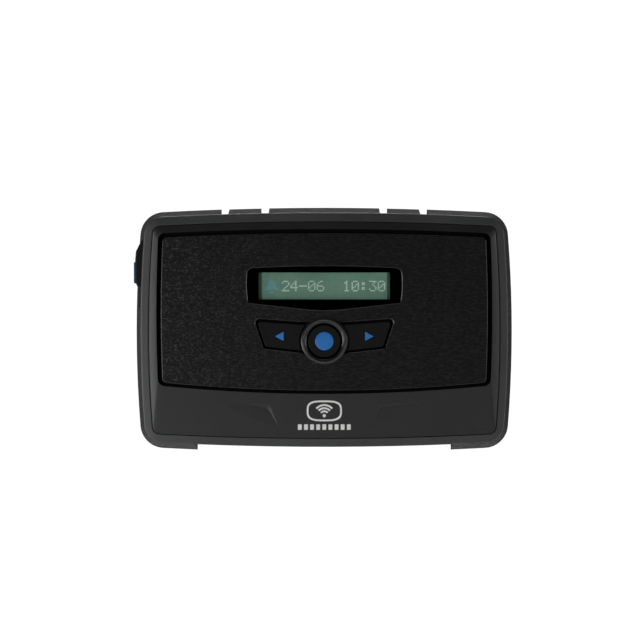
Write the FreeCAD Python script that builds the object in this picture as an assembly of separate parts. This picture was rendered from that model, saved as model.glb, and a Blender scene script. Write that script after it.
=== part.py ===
import FreeCAD
import Part
import math
import os

# Wall-mounted alert and access controller with a one-window character display and three keys.
# All sizes are millimetres. X runs to the right, Z up, and the front faces -Y.
# The origin is the middle of the back face, which lies on the wall. "d" is the distance out from the wall.
#
# The unit comes apart like this:
#   base          rear tray with its boards, switches, relays and terminals, and a clip-on cowl
#   front cover   rim, fascia, brushed panel, display lens and collar; it swings down about its bottom edge
#   keys          three caps held behind the panel, each resting on the plunger of a tactile switch
#   module        a plug-in memory module that pulls out of the left side
#   latches       two tabs in the top wall that hold the cover shut

Vector = FreeCAD.Vector
OUT = "parts"

# ---- driving dimensions: outlines ----
FRAME_HALF_W = 82.7         # half width of the front rim
FRAME_TOP = 52.45           # top of the front rim
FRAME_BOTTOM = -53.0
SIDE_BOW_R = 550.0          # the left and right edges are arcs this large
TOP_BOW_R = 1400.0          # and the top and bottom edges these
FRAME_CORNER_R = 8.5
FLARE = 3.2                 # how far the tray's foot on the wall stands out past the rim at the top,
FLARE_SIDE = 3.5            # at the sides
FLARE_BOTTOM = 3.65         # and at the bottom
RIM_SIDE_W = 3.7            # width of the rim at the sides,
RIM_TOP_W = 4.1             # at the top
RIM_BOTTOM_W = 3.85         # and at the bottom
GROOVE_HALF_W = 75.45       # outside of the dark groove round the panel
GROOVE_TOP = 45.0
GROOVE_BOTTOM = -29.1
PANEL_HALF_W = 73.45
PANEL_TOP = 43.1
PANEL_BOTTOM = -27.6
PANEL_BOTTOM_R = 740.0      # the panel's lower edge bows more than its upper one

# ---- driving dimensions: depths out from the wall ----
WALL = 2.4                  # moulded wall thickness
PARTING = 21.0              # front edge of the tray
SEAM = 0.3                  # gap between tray and front cover
RIM_EDGE_D = 30.15          # front of the rim at its outer edge
RIM_D = 30.6                # and beside the fascia
FASCIA_EDGE_D = 31.1        # front of the fascia at its outer edge
FASCIA_TOP_D = 32.3         # and beside the groove
FASCIA_BACK_D = 26.0
LEDGE_D = 29.2              # floor of the groove, and back of the panel
PANEL_D = 32.4              # front of the panel
SKIRT_BACK_D = 18.5         # how far the cover's skirt reaches into the tray
BOARD_D = 8.0               # back of the main board
BOARD_T = 1.6
DISPLAY_BOARD_D = 15.0      # back of the display board
LCD_BOARD_D = 18.6          # back of the display module's board
MAIN_DECK_D = BOARD_D + BOARD_T
DISPLAY_DECK_D = DISPLAY_BOARD_D + BOARD_T
LCD_DECK_D = LCD_BOARD_D + BOARD_T

# ---- driving dimensions: display, after a standard 16 by 2 character module ----
LCD_Z = 19.4                # height of the display's middle
WINDOW_W, WINDOW_H = 59.1, 12.1
LCD_VIEW_W, LCD_VIEW_H = 64.5, 15.2
LCD_BEZEL_W, LCD_BEZEL_H = 71.2, 25.2
LCD_BOARD_W, LCD_BOARD_H = 80.0, 36.0
LENS_FRONT_D = 31.7
LENS_T = 1.5
MASK_T = 0.15
PINS = 16
PIN_PITCH = 2.54

# ---- driving dimensions: keys ----
KEY_Z = -5.4                # height of the middle key
KEY_TRAVEL = 0.5
COLLAR_OUT_R, COLLAR_IN_R = 10.5, 8.16
SELECT_R = 7.3
DOT_R = 4.1
SIDE_KEY_GAP = 1.05
KEY_FRONT_D = 32.05
SELECT_FRONT_D = 32.6
FLANGE_D, FLANGE_T = 28.0, 1.0
STEM_R = 1.6
STEM_TIP_D = 24.0
SIDE_SWITCH_X = 20.5
SIDE_SWITCH_Z = KEY_Z + 2.4

# ---- driving dimensions: tray openings and latches ----
LATCH_X = 36.15
LATCH_W = 14.7
LATCH_ROOT_R = 1.2
LATCH_BACK_D = 0.5          # the tab's foot stays off the wall, so that it can lean back as its front lifts
NOTCH_W = 3.6
NOTCH_Z = 49.4              # the latch notches start at this height
FOOT_X = 58.1               # the bottom wall is cut away between the feet
HINGE_D, HINGE_Z = 19.8, -51.45
HINGE_PIN_R, HINGE_PLAY = 0.75, 0.05
HINGE_HOOK_R = 1.9
HINGE_HOOK_X = (53.2, 57.6)
WALL_HOLE_X, WALL_HOLE_Z, WALL_HOLE_R = 76.0, 36.0, 2.25
CABLE_HOLE = (-20.0, 20.0, -34.0, -16.0)
MODULE_Z, MODULE_D = 25.6, 13.1
MODULE_H, MODULE_T = 9.8, 5.0
MODULE_OUT_X = -86.6
COWL_X = -85.9


# ---- drawing helpers ----
def point(x, z, d):
    return Vector(x, -d, z)


def circle_crossing(ax, az, ar, bx, bz, br, sx, sz):
    """Where two circles cross, on the side that (sx, sz) points to."""
    dx, dz = bx - ax, bz - az
    dist = math.hypot(dx, dz)
    along = (ar * ar - br * br + dist * dist) / (2 * dist)
    off = math.sqrt(ar * ar - along * along)
    mx, mz = ax + along * dx / dist, az + along * dz / dist
    crossings = [(mx - off * dz / dist, mz + off * dx / dist), (mx + off * dz / dist, mz - off * dx / dist)]
    return max(crossings, key=lambda c: c[0] * sx + c[1] * sz)


class Outline:
    """A four-sided outline parallel to the wall, with bowed sides and rounded corners."""

    def __init__(self, half_w, top, bottom, r_side, r_top, r_bottom, corner):
        self.half_w, self.top, self.bottom = half_w, top, bottom
        self.r_side, self.r_top, self.r_bottom, self.corner = r_side, r_top, r_bottom, corner

    def inset(self, t, corner=None):
        kept = max(self.corner - t, 0.4) if corner is None else corner
        return Outline(self.half_w - t, self.top - t, self.bottom + t,
                       self.r_side - t, self.r_top - t, self.r_bottom - t, kept)

    def corner_arc(self, sx, sz):
        """Tangent points and middle of one corner: (on the side, middle, on the top or bottom)."""
        middle = (self.top + self.bottom) / 2
        end, radius = (self.top, self.r_top) if sz > 0 else (self.bottom, self.r_bottom)
        a = (0.0, end - sz * radius)
        b = (sx * (self.half_w - self.r_side), middle)
        c = self.corner
        cx, cz = circle_crossing(*a, radius - c, *b, self.r_side - c, sx, sz)
        to_end = (Vector(cx - a[0], 0, cz - a[1])).normalize()
        to_side = (Vector(cx - b[0], 0, cz - b[1])).normalize()
        half_way = (to_end + to_side).normalize()
        centre = Vector(cx, 0, cz)
        return [centre + v * c for v in (to_side, half_way, to_end)]

    def wire(self, d):
        middle = (self.top + self.bottom) / 2
        tl, tr = self.corner_arc(-1, 1), self.corner_arc(1, 1)
        br, bl = self.corner_arc(1, -1), self.corner_arc(-1, -1)
        arcs = [
            (tl[2], Vector(0, 0, self.top), tr[2]), (tr[2], tr[1], tr[0]),
            (tr[0], Vector(self.half_w, 0, middle), br[0]), (br[0], br[1], br[2]),
            (br[2], Vector(0, 0, self.bottom), bl[2]), (bl[2], bl[1], bl[0]),
            (bl[0], Vector(-self.half_w, 0, middle), tl[0]), (tl[0], tl[1], tl[2]),
        ]
        shift = Vector(0, -d, 0)
        return Part.Wire([Part.Arc(*(p + shift for p in arc)).toShape() for arc in arcs])


def raise_wire(wire, d0, d1):
    return Part.Face(wire).extrude(Vector(0, d0 - d1, 0))


def prism(outline, d0, d1):
    return raise_wire(outline.wire(d0), d0, d1)


def box(x0, x1, z0, z1, d0, d1):
    return Part.makeBox(x1 - x0, d1 - d0, z1 - z0, Vector(x0, -d1, z0))


def rod(x, z, r, d0, d1):
    return Part.makeCylinder(r, d1 - d0, Vector(x, -d0, z), Vector(0, -1, 0))


def spun(profile, x, z):
    """Turns a closed profile of (radius, d) points about the line through (x, z) square to the wall."""
    corners = [Vector(x + r, -d, z) for r, d in profile]
    face = Part.Face(Part.makePolygon(corners + corners[:1]))
    return face.revolve(Vector(x, 0, z), Vector(0, 1, 0), 360)


def rounded_wire(corners, radii, d):
    """A closed wire through (x, z) corners, each rounded to its own radius."""
    count = len(corners)
    arcs = []
    for i, (x, z) in enumerate(corners):
        here = Vector(x, 0, z)
        before = (Vector(corners[i - 1][0], 0, corners[i - 1][1]) - here).normalize()
        after = (Vector(corners[(i + 1) % count][0], 0, corners[(i + 1) % count][1]) - here).normalize()
        half = before.getAngle(after) / 2
        reach = radii[i] / math.tan(half)
        inward = (before + after).normalize()
        middle = here + inward * (radii[i] / math.sin(half) - radii[i])
        arcs.append((here + before * reach, middle, here + after * reach))
    shift = Vector(0, -d, 0)
    edges = []
    for i, (start, middle, end) in enumerate(arcs):
        edges.append(Part.Arc(start + shift, middle + shift, end + shift).toShape())
        edges.append(Part.LineSegment(end + shift, arcs[(i + 1) % count][0] + shift).toShape())
    return Part.Wire(edges)


def inset_corners(corners, t):
    """Corners of a convex (x, z) polygon, drawn clockwise, moved in by t."""
    count = len(corners)
    moved = []
    for i in range(count):
        p, q, r = (Vector(*corners[(i + k) % count], 0) for k in (-1, 0, 1))
        u, w = (q - p).normalize(), (r - q).normalize()
        nu, nw = Vector(u.y, -u.x, 0), Vector(w.y, -w.x, 0)
        bisector = (nu + nw).normalize()
        q = q + bisector * (t / bisector.dot(nu))
        moved.append((q.x, q.y))
    return moved


def fuse(shapes):
    return shapes[0].multiFuse(shapes[1:]).removeSplitter() if len(shapes) > 1 else shapes[0]


def cut(shape, tools):
    return shape.cut(Part.makeCompound(tools))


def edges_at(shape, d, low=0.0, high=1e9):
    """Edges that lie in the plane at distance d and whose middle is between low and high from the Y axis."""
    found = []
    for e in shape.Edges:
        middle = e.valueAt((e.FirstParameter + e.LastParameter) / 2)
        flat = all(abs(p.y + d) < 1e-4 for p in [middle] + [v.Point for v in e.Vertexes])
        if flat and low <= math.hypot(middle.x, middle.z) <= high:
            found.append(e)
    return found


def mirrored(shape):
    return shape.mirror(Vector(0, 0, 0), Vector(1, 0, 0))


def save(name, shapes):
    """Writes one node. A list of solids becomes one node of separate solids."""
    solids = shapes if isinstance(shapes, list) else shapes.Solids
    for s in solids:
        if not s.isValid() or s.Volume <= 0:
            raise ValueError(f"{name} has a bad solid")
    shape = solids[0] if len(solids) == 1 else Part.makeCompound(solids)
    shape.exportStep(os.path.join(OUT, name + ".step"))
    print(f"{name}: {len(solids)} solid(s), {sum(s.Volume for s in solids) / 1000:.2f} cm3")


# ---- outlines that the mouldings share ----
def frame_offset(side, top, bottom, corner):
    """The front rim's outline moved out by its own amount at the sides, the top and the bottom."""
    return Outline(FRAME_HALF_W + side, FRAME_TOP + top, FRAME_BOTTOM - bottom,
                   SIDE_BOW_R + side, TOP_BOW_R + top, TOP_BOW_R + bottom, corner)


FRAME = frame_offset(0, 0, 0, FRAME_CORNER_R)
FOOT = frame_offset(FLARE_SIDE, FLARE, FLARE_BOTTOM, 11.0)
TRAY_FRONT = FRAME.inset(-0.3)
FASCIA = frame_offset(-RIM_SIDE_W, -RIM_TOP_W, -RIM_BOTTOM_W, 3.2)
GROOVE = Outline(GROOVE_HALF_W, GROOVE_TOP, GROOVE_BOTTOM, 700.0, TOP_BOW_R, PANEL_BOTTOM_R, 3.2)
PANEL = Outline(PANEL_HALF_W, PANEL_TOP, PANEL_BOTTOM, 700.0, TOP_BOW_R, PANEL_BOTTOM_R, 2.0)

BOARD_BOX = (-71.0, 71.0, -43.0, 41.0)
BOSSES = [(x, z) for x in (-66.0, 66.0) for z in (-38.5, 0.0, 36.0)]
DISPLAY_POSTS = [(x, z) for x in (-43.5, 43.5) for z in (-9.5, 36.5)]
LCD_POSTS = [(x, LCD_Z + z) for x in (-37.5, 37.5) for z in (-15.5, 15.5)]
SWITCHES = {
    "left": (-SIDE_SWITCH_X, SIDE_SWITCH_Z),
    "select": (0.0, KEY_Z),
    "right": (SIDE_SWITCH_X, SIDE_SWITCH_Z),
}
PIN_X = [(i - (PINS - 1) / 2) * PIN_PITCH for i in range(PINS)]
PIN_Z = LCD_Z + 16.4
PANEL_SEATS = [(-72.0, 28.0), (-72.0, -15.0), (-34.0, -25.2), (34.0, -25.2), (72.0, -15.0), (72.0, 28.0)]
WALL_HOLES = [(sx * WALL_HOLE_X, sz * WALL_HOLE_Z) for sx in (-1, 1) for sz in (-1, 1)]


# ---- the tray and what is fixed to it ----
def flared_shell():
    """The tray's wall and back before anything is cut: a flared box, open at the front."""
    outer = Part.makeLoft([FOOT.wire(0), TRAY_FRONT.wire(PARTING)], True, True)
    past = 1.0
    slope = (FLARE - 0.3) / PARTING
    inner_back = FOOT.inset(WALL + slope * WALL)
    inner_front = TRAY_FRONT.inset(WALL + slope * past, TRAY_FRONT.corner - WALL)
    inner = Part.makeLoft([inner_back.wire(WALL), inner_front.wire(PARTING + past)], True, True)
    return outer.cut(inner)


def module_aperture():
    return box(-92, -78, 9.7, 40.6, 7.0, 17.0)


def latch_gap(side):
    half = LATCH_W / 2 + NOTCH_W
    return box(side * LATCH_X - half, side * LATCH_X + half, NOTCH_Z, 62, -1, PARTING + 1)


def hinge_rod(side, x0, x1, r):
    """A rod on the cover's hinge line, between two distances from the middle."""
    start = x0 if side > 0 else -x1
    return Part.makeCylinder(r, x1 - x0, Vector(start, -HINGE_D, HINGE_Z), Vector(1, 0, 0))


def rear_tray(shell):
    bosses = [rod(x, z, 3.2, WALL - 0.2, BOARD_D) for x, z in BOSSES]
    collars = [rod(x, z, 4.4, WALL - 0.2, WALL + 1.2) for x, z in WALL_HOLES]
    ribs = [box(x - 0.8, x + 0.8, -12, 46, WALL - 0.2, 5.0) for x in (-44, -22, 22, 44)]
    ribs += [box(-50, 50, z - 0.8, z + 0.8, WALL - 0.2, 4.0) for z in (-10.0, 20.0)]
    body = fuse([shell] + bosses + collars + ribs)
    x0, x1, z0, z1 = CABLE_HOLE
    tools = [latch_gap(-1), latch_gap(1), module_aperture()]
    tools.append(box(-FOOT_X, FOOT_X, -62, -NOTCH_Z, -1, PARTING + 1))
    tools.append(box(-FOOT_X, FOOT_X, -62, -46.0, WALL, PARTING + 1))
    cable_mouth = rounded_wire([(x0, z1), (x1, z1), (x1, z0), (x0, z0)], [3] * 4, -1)
    tools.append(raise_wire(cable_mouth, -1, WALL + 1))
    tools += [rod(x, z, 1.1, WALL + 1.0, BOARD_D + 1) for x, z in BOSSES]
    tools += [rod(x, z, WALL_HOLE_R, -1, 6) for x, z in WALL_HOLES]
    tools += [rod(sx * 30.0, z, 1.6, -1, 0.6) for sx in (-1, 1) for z in (-40.0, 30.0)]
    hooks_from, _ = HINGE_HOOK_X
    pins = [hinge_rod(side, hooks_from - 0.2, FOOT_X + 1.0, HINGE_PIN_R) for side in (-1, 1)]
    return fuse([cut(body, tools)] + pins)


def latch_tab(shell, side):
    """A tab of the top wall, with a rounded root on the back's edge and a snap nib at its front edge."""
    x0, x1 = side * LATCH_X - LATCH_W / 2, side * LATCH_X + LATCH_W / 2
    root_z = NOTCH_Z + LATCH_ROOT_R + 0.05
    root_d = LATCH_BACK_D + LATCH_ROOT_R
    wall = shell.common(box(x0, x1, root_z, 62, LATCH_BACK_D, PARTING + 1))
    root = Part.makeCylinder(LATCH_ROOT_R, LATCH_W, Vector(x0, -root_d, root_z), Vector(1, 0, 0))
    low, high = 49.55, 50.75
    corners = [point(x0 + 3, z, d) for z, d in ((high, 17.5), (high, 20.4), (low, 19.8), (low, 19.2))]
    nib = Part.Face(Part.makePolygon(corners + corners[:1])).extrude(Vector(LATCH_W - 6, 0, 0))
    return fuse([wall, root, nib])


def module_cowl():
    """The raised surround of the memory module, clipped into the tray's side opening."""
    profile = [(-79.0, 40.5), (-83.0, 40.5), (-85.6, 35.2), (COWL_X, 31.5),
               (COWL_X, 21.4), (-84.9, 19.2), (-79.0, 19.2)]
    corners = [point(x, z, 7.1) for x, z in profile]
    body = Part.Face(Part.makePolygon(corners + corners[:1])).extrude(Vector(0, -9.8, 0))
    slot = box(-92, -70, MODULE_Z - MODULE_H / 2 - 0.15, MODULE_Z + MODULE_H / 2 + 0.15,
               MODULE_D - MODULE_T / 2 - 0.15, MODULE_D + MODULE_T / 2 + 0.15)
    rounded = body.makeFillet(0.8, [e for e in body.Edges if outer_cowl_edge(e)])
    return rounded.cut(slot)


def outer_cowl_edge(edge):
    """True for the cowl's long edges that stand outside the tray."""
    return all(v.Point.x < -82.9 for v in edge.Vertexes)


def board(x0, x1, z0, z1, d, holes, pins=()):
    blank = raise_wire(rounded_wire([(x0, z1), (x1, z1), (x1, z0), (x0, z0)], [2] * 4, d), d, d + BOARD_T)
    tools = [rod(x, z, r, d - 1, d + BOARD_T + 1) for x, z, r in holes] + list(pins)
    return cut(blank, tools)


def pan_screw(x, z, head_d, shank, head_r=2.5, head_h=1.6, shank_r=1.05):
    """A pan-head screw, its head's underside at head_d, with a cross recess."""
    head = rod(x, z, head_r, head_d, head_d + head_h)
    head = head.makeFillet(0.6, edges_at(head, head_d + head_h))
    body = head.fuse(rod(x, z, shank_r, head_d - shank, head_d))
    top = head_d + head_h
    cross = [box(x - 1.5, x + 1.5, z - 0.28, z + 0.28, top - 0.8, top + 1),
             box(x - 0.28, x + 0.28, z - 1.5, z + 1.5, top - 0.8, top + 1)]
    return cut(body, cross)


def ring(x, z, r_out, r_in, d0, d1):
    return rod(x, z, r_out, d0, d1).cut(rod(x, z, r_in, d0 - 1, d1 + 1))


def lcd_pins():
    return [rod(x, PIN_Z, 0.32, DISPLAY_BOARD_D - 1.2, LCD_DECK_D + 1.0) for x in PIN_X]


def link_pins():
    """The two rows of pins between the main board and the display board."""
    return [rod(x + 4.0, z, 0.32, BOARD_D - 1.2, DISPLAY_DECK_D + 1.0)
            for x in PIN_X[4:12] for z in (7.0, 9.54)]


def centred(x, z, w, h, d0, d1):
    return box(x - w / 2, x + w / 2, z - h / 2, z + h / 2, d0, d1)


def lcd_bezel():
    """The folded metal frame that clamps the glass to its board, with twist tabs through the board."""
    z, back, front = LCD_Z, LCD_DECK_D, 27.6
    shell = centred(0, z, LCD_BEZEL_W, LCD_BEZEL_H, back, front)
    shell = shell.makeFillet(0.7, edges_at(shell, front))
    inside = centred(0, z, LCD_BEZEL_W - 1.2, LCD_BEZEL_H - 1.2, back - 1, front - 0.6)
    half_w, high, low = LCD_VIEW_W / 2, z + LCD_VIEW_H / 2, z - LCD_VIEW_H / 2
    corners = [(-half_w, high), (half_w, high), (half_w, low), (-half_w, low)]
    view = raise_wire(rounded_wire(corners, [0.8] * 4, front - 2), front - 2, front + 1)
    tabs = [centred(x, z + sz * (LCD_BEZEL_H / 2 - 0.3), 2.4, 0.6, back - BOARD_T - 0.8, back + 0.5)
            for x in (-24, 0, 24) for sz in (-1, 1)]
    return fuse([cut(shell, [inside, view])] + tabs), tabs


def tactile_switch(x, z):
    """(housing, metal cover, legs) of one 6 mm tactile switch on the display board."""
    foot = DISPLAY_DECK_D
    housing = cut(centred(x, z, 6.0, 6.0, foot, foot + 3.2), [rod(x, z, 1.75, foot + 2.0, foot + 5)])
    legs = [centred(x + sx * 3.25, z + sz * 2.25, 0.5, 0.7, foot, foot + 1.6)
            for sx in (-1, 1) for sz in (-1, 1)]
    plate = cut(centred(x, z, 6.0, 6.0, foot + 3.2, foot + 3.5), [rod(x, z, 1.85, foot, foot + 5)])
    sides = [centred(x + sx * 3.1, z, 0.2, 3.0, foot + 1.8, foot + 3.5) for sx in (-1, 1)]
    return housing, fuse([plate] + sides), legs


def plunger(x, z):
    top = STEM_TIP_D - 0.03
    stem = rod(x, z, 1.7, DISPLAY_DECK_D + 2.7, top)
    return stem.makeFillet(0.3, edges_at(stem, top))


def terminal_block(x):
    """A four-way rising-clamp terminal block: (housing, screws). Wires enter from below."""
    pitch, ways, low, high = 5.08, 4, -43.4, -33.4
    foot = MAIN_DECK_D
    top = foot + 10.4
    half = pitch * ways / 2
    profile = [(low, foot), (low, top - 3.6), (low + 2.4, top),
               (high - 1.6, top), (high, top - 3.0), (high, foot)]
    side = [point(x - half, z, d) for z, d in profile]
    body = Part.Face(Part.makePolygon(side + side[:1])).extrude(Vector(2 * half - 0.1, 0, 0))
    centres = [x + (i - (ways - 1) / 2) * pitch for i in range(ways)]
    screw_z = (low + high) / 2 + 0.4
    mouths = [box(c - 1.7, c + 1.7, low - 1, low + 5.5, foot + 2.0, foot + 5.6) for c in centres]
    wells = [rod(c, screw_z, 1.9, top - 2.6, top + 1) for c in centres]
    screws = [cut(rod(c, screw_z, 1.75, top - 2.6, top - 0.7),
                  [centred(c, screw_z, 3.6, 0.6, top - 1.3, top)]) for c in centres]
    return cut(body, mouths + wells), screws


def relay(x, z):
    foot, top = MAIN_DECK_D, MAIN_DECK_D + 13.8
    block = centred(x, z, 19.0, 15.2, foot, top)
    return block.makeFillet(0.6, edges_at(block, top))


def processor():
    foot, side, count, pitch = MAIN_DECK_D, 12.0, 12, 0.8
    body = centred(0, -24, side, side, foot + 0.15, foot + 1.6)
    body = body.makeChamfer(0.25, edges_at(body, foot + 1.6))
    body = body.cut(rod(-4.6, -19.4, 0.5, foot + 1.5, foot + 2))
    leads = []
    for i in range(count):
        t = (i - (count - 1) / 2) * pitch
        for s in (-1, 1):
            leads.append(centred(t, -24 + s * (side / 2 + 0.6), 0.34, 1.2, foot, foot + 0.6))
            leads.append(centred(s * (side / 2 + 0.6), -24 + t, 1.2, 0.34, foot, foot + 0.6))
    return body, leads


def capacitor(x, z, r, h):
    """An electrolytic can with its rolled lip: (can, end)."""
    foot = MAIN_DECK_D
    can = spun([(0, foot), (r - 0.2, foot), (r, foot + 0.4), (r, foot + 1.4), (r - 0.35, foot + 1.8),
                (r, foot + 2.2), (r, foot + h - 0.5), (r - 0.5, foot + h), (0, foot + h)], x, z)
    return cut(can, [centred(x, z, 1.4 * r, 0.25, foot + h - 0.15, foot + h + 1),
                     centred(x, z, 0.25, 1.4 * r, foot + h - 0.15, foot + h + 1)])


def sounder(x, z):
    foot = MAIN_DECK_D
    return spun([(1.0, foot), (6.0, foot), (6.0, foot + 7.6), (5.4, foot + 8.2), (1.0, foot + 8.2)], x, z)


def coin_cell(x, z):
    """(cell, holder) of a 20 mm clock back-up cell lying flat on the main board."""
    foot = MAIN_DECK_D
    cell = spun([(0, foot + 1.2), (9.0, foot + 1.2), (9.2, foot + 1.6), (10.0, foot + 1.6),
                 (10.0, foot + 4.2), (9.7, foot + 4.4), (0, foot + 4.4)], x, z)
    holder = centred(x, z, 23.0, 16.0, foot, foot + 4.0).cut(rod(x, z, 10.15, foot + 1.1, foot + 6))
    clip = centred(x, z, 5.0, 22.5, foot + 4.5, foot + 4.8)
    ends = [centred(x, z + s * 11.0, 5.0, 0.5, foot, foot + 4.8) for s in (-1, 1)]
    return cell, holder, fuse([clip] + ends)


# ---- the front cover ----
def hinge_hook(side):
    """A hook behind the cover's lower edge. It is open underneath and turns on a pin of the tray's foot."""
    x0, x1 = HINGE_HOOK_X
    left = x0 if side > 0 else -x1
    round_end = hinge_rod(side, x0, x1, HINGE_HOOK_R)
    arm = box(left, left + x1 - x0, HINGE_Z, HINGE_Z + HINGE_HOOK_R, HINGE_D, 24.5)
    bore = hinge_rod(side, x0 - 1, x1 + 1, HINGE_PIN_R + HINGE_PLAY)
    mouth = box(left - 1, left + x1 - x0 + 1, HINGE_Z - 3, HINGE_Z - HINGE_PIN_R, HINGE_D - 3, HINGE_D + 3)
    return cut(round_end.fuse(arm), [bore, mouth])


def front_frame():
    sides = prism(FRAME, PARTING + SEAM, RIM_EDGE_D)
    slope = Part.makeLoft([FRAME.wire(RIM_EDGE_D), FASCIA.inset(-0.6).wire(RIM_D)], True, True)
    blank = sides.fuse(slope).removeSplitter()
    blank = blank.makeFillet(0.7, edges_at(blank, RIM_EDGE_D))
    shoulder = 24.0
    tools = [
        prism(FRAME.inset(WALL), PARTING - 1, shoulder),
        prism(FASCIA, FASCIA_BACK_D, RIM_D + 1),
        prism(FASCIA.inset(2.6), shoulder - 1, FASCIA_BACK_D + 1),
    ]
    body = cut(blank, tools)
    lip = [e for e in edges_at(body, RIM_D) if on_wire(e, FASCIA.wire(RIM_D))]
    body = body.makeFillet(0.3, lip)
    skirt = prism(FRAME.inset(2.5), SKIRT_BACK_D, shoulder + 0.3)
    skirt = skirt.cut(prism(FRAME.inset(4.0), SKIRT_BACK_D - 1, shoulder + 1))
    half_gap = LATCH_W / 2 + 1.5
    gaps = [box(x - half_gap, x + half_gap, 45, 60, SKIRT_BACK_D - 1, PARTING + SEAM)
            for x in (-LATCH_X, LATCH_X)]
    gaps.append(box(-FOOT_X, FOOT_X, -60, -45, SKIRT_BACK_D - 1, PARTING + SEAM))
    return fuse([body, cut(skirt, gaps), hinge_hook(-1), hinge_hook(1)])


def on_wire(edge, wire):
    """True if the edge's middle lies within 0.05 mm of the wire."""
    middle = edge.valueAt((edge.FirstParameter + edge.LastParameter) / 2)
    return wire.distToShape(Part.Vertex(middle))[0] < 0.05


def fascia_scoop():
    """The left dent of the lower fascia: walled above and beside the badge, fading out downward and outward.

    It is drawn level, with the fascia's skin at depth 0, and then tilted to lie in the fascia's slope.
    """
    far, near, low = Vector(-54.5, 0, -31.9), Vector(-24.6, 0, -33.8), Vector(-20.0, 0, -45.6)
    beyond_low, beyond_far = near + (low - near) * 1.35, near + (far - near) * 1.35
    outline = [(p.x, p.z) for p in (near, beyond_low, beyond_far)]
    deep = rounded_wire(inset_corners(outline, 2.6), [0.4, 0.3, 0.3], -0.9)
    open_mouth = rounded_wire(inset_corners(outline, -0.9), [3.4, 0.3, 0.3], 0.3)
    walled = Part.makeLoft([deep, open_mouth], True, True)

    along = (low - far).normalize()
    across = Vector(-along.z, 0, along.x)
    start = far - along * 14

    def at(s, d):
        return start + across * s + Vector(0, -d, 0)

    fade = [
        Part.LineSegment(at(-7, 0.25), at(0, 0)), Part.Arc(at(0, 0), at(5, -0.27), at(9, -0.72)),
        Part.LineSegment(at(9, -0.72), at(9, 2)), Part.LineSegment(at(9, 2), at(-7, 2)),
        Part.LineSegment(at(-7, 2), at(-7, 0.25)),
    ]
    above_floor = Part.Face(Part.Wire([e.toShape() for e in fade])).extrude(along * 62)
    dent = walled.common(above_floor)
    skin_z, skin_d, skin_tilt = -38.0, 31.88, 3.3
    dent.translate(Vector(0, -skin_d, 0))
    dent.rotate(Vector(0, -skin_d, skin_z), Vector(1, 0, 0), skin_tilt)
    return dent


def fascia():
    gap = 0.22
    outer = FASCIA.inset(gap)
    skirt = prism(outer, FASCIA_BACK_D, FASCIA_EDGE_D)
    crown_d = FASCIA_EDGE_D + 0.62 * (FASCIA_TOP_D - FASCIA_EDGE_D)
    crown = Outline((outer.half_w + GROOVE_HALF_W) / 2, (outer.top + GROOVE_TOP) / 2,
                    (outer.bottom + GROOVE_BOTTOM) / 2, 620.0, TOP_BOW_R, 1000.0, 3.3)
    rings = [outer.wire(FASCIA_EDGE_D), crown.wire(crown_d), GROOVE.wire(FASCIA_TOP_D)]
    dome = Part.makeLoft(rings, True, False)
    body = skirt.fuse(dome).removeSplitter()
    well = prism(GROOVE, LEDGE_D, FASCIA_TOP_D + 2)
    opening = prism(PANEL.inset(3.0), FASCIA_BACK_D - 1, LEDGE_D + 1)
    body = cut(body, [well, opening])
    coring = Outline(FASCIA.half_w - 9.5, -34.0, FASCIA.bottom + 3.0, 700.0, 800.0, TOP_BOW_R, 2.0)
    body = body.cut(prism(coring, FASCIA_BACK_D - 1, FASCIA_BACK_D + 2.6))
    screw_holes = [rod(x, z, 1.1, FASCIA_BACK_D - 1, LEDGE_D + 1) for x, z in PANEL_SEATS]
    scoop = fascia_scoop()
    return cut(body, [scoop, mirrored(scoop)] + screw_holes)


def lens_block(grow, d0, d1):
    """The display lens's outline grown by a margin: bowed sides and a lower edge that dips in the middle."""
    top, side_top, side_mid, side_low = (0.0, 28.3), (34.4, 27.25), (34.9, 19.4), (34.15, 11.75)
    dip_end, dip = (9.0, 8.95), (0.0, 8.45)

    def at(p, sx=1):
        return point(sx * p[0], p[1], d0)

    edges = [
        Part.Arc(at(side_top, -1), at(top), at(side_top)),
        Part.Arc(at(side_top), at(side_mid), at(side_low)),
        Part.LineSegment(at(side_low), at(dip_end)), Part.Arc(at(dip_end), at(dip), at(dip_end, -1)),
        Part.LineSegment(at(dip_end, -1), at(side_low, -1)),
        Part.Arc(at(side_low, -1), at(side_mid, -1), at(side_top, -1)),
    ]
    wire = Part.Wire([e.toShape() for e in edges])
    block = raise_wire(wire.makeOffset2D(grow, 2) if grow else wire, d0, d1)
    for radius, z in ((2.6, side_top[1]), (1.9, side_low[1])):
        corners = [e for e in block.Edges if is_corner_edge(e, side_low[0] - 1.0, z)]
        block = block.makeFillet(radius + grow, corners)
    return block


def is_corner_edge(edge, beyond_x, z):
    """True for an edge that runs out from the wall, beyond beyond_x and within 1 mm of height z."""
    a, b = (v.Point for v in edge.Vertexes)
    return abs(a.y - b.y) > 0.1 and abs(a.x) > beyond_x and abs(a.z - z) < 1.0


def window(d0, d1, w=WINDOW_W, h=WINDOW_H):
    return centred(0, LCD_Z, w, h, d0, d1)


# The left key's opening, clockwise from its upper outer corner, about the middle key.
SIDE_KEY_HOLE = [(-31.8, 10.2 + KEY_Z), (-4.0, 8.15 + KEY_Z), (-4.0, -6.05 + KEY_Z), (-27.2, -3.45 + KEY_Z)]
SIDE_KEY_RADII = [1.9, 0.5, 0.5, 1.7]


def side_key_shape(t, d0, d1, bite):
    """The left key's outline moved in by t, between two depths, its inner end cut back round the collar."""
    radii = [max(r - t * 0.6, 0.4) for r in SIDE_KEY_RADII]
    wire = rounded_wire(inset_corners(SIDE_KEY_HOLE, t), radii, d0)
    return raise_wire(wire, d0, d1).cut(rod(0, KEY_Z, bite, d0 - 1, d1 + 1))


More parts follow.
